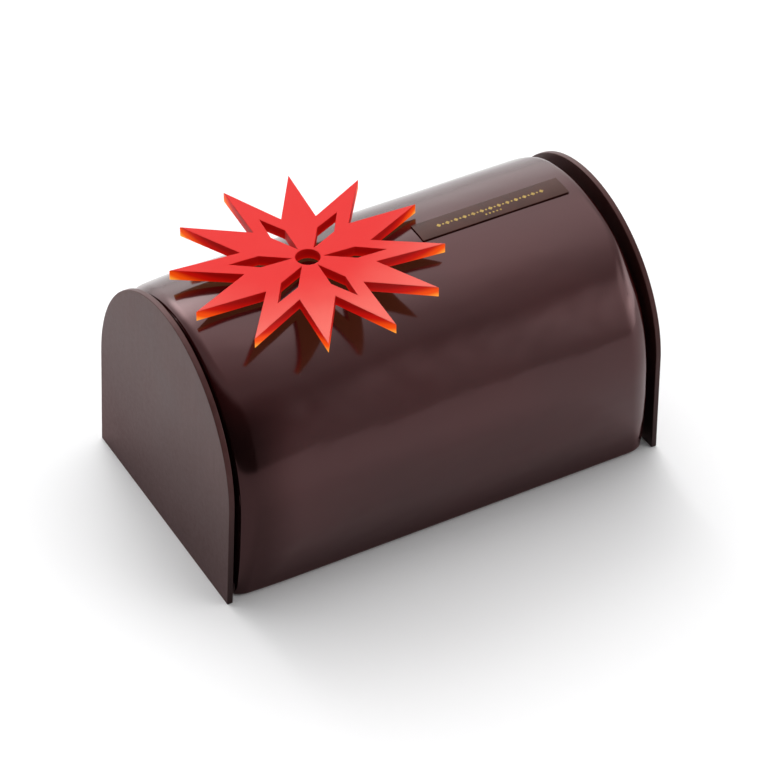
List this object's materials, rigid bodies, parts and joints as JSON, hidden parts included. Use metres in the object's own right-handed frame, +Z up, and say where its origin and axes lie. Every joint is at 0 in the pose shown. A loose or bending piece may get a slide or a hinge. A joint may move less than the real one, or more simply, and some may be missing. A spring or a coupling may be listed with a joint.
{
  "type": "yule log cake",
  "caption": "Glazed chocolate yule log cake with round-topped chocolate end plates, a pierced star and a thin label on its crest.",
  "frame": {"origin": "on the surface that the cake stands on, at the centre of its bounding box's base", "axes": "+X along the log, from the star's end towards the label's end; +Z up; -Y is the front"},
  "size_m": [0.1636, 0.102, 0.0893],
  "materials": {
    "glaze": "mirror-gloss dark chocolate glaze",
    "plate_chocolate": "satin dark chocolate",
    "star_red": "satin red sugar decoration",
    "label_chocolate": "gloss dark chocolate"
  },
  "bodies": {
    "root": {"log_body": "glaze", "end_plate_left": "plate_chocolate", "end_plate_right": "plate_chocolate", "star": "star_red", "label_plaque": "label_chocolate"}
  },
  "joints": []
}
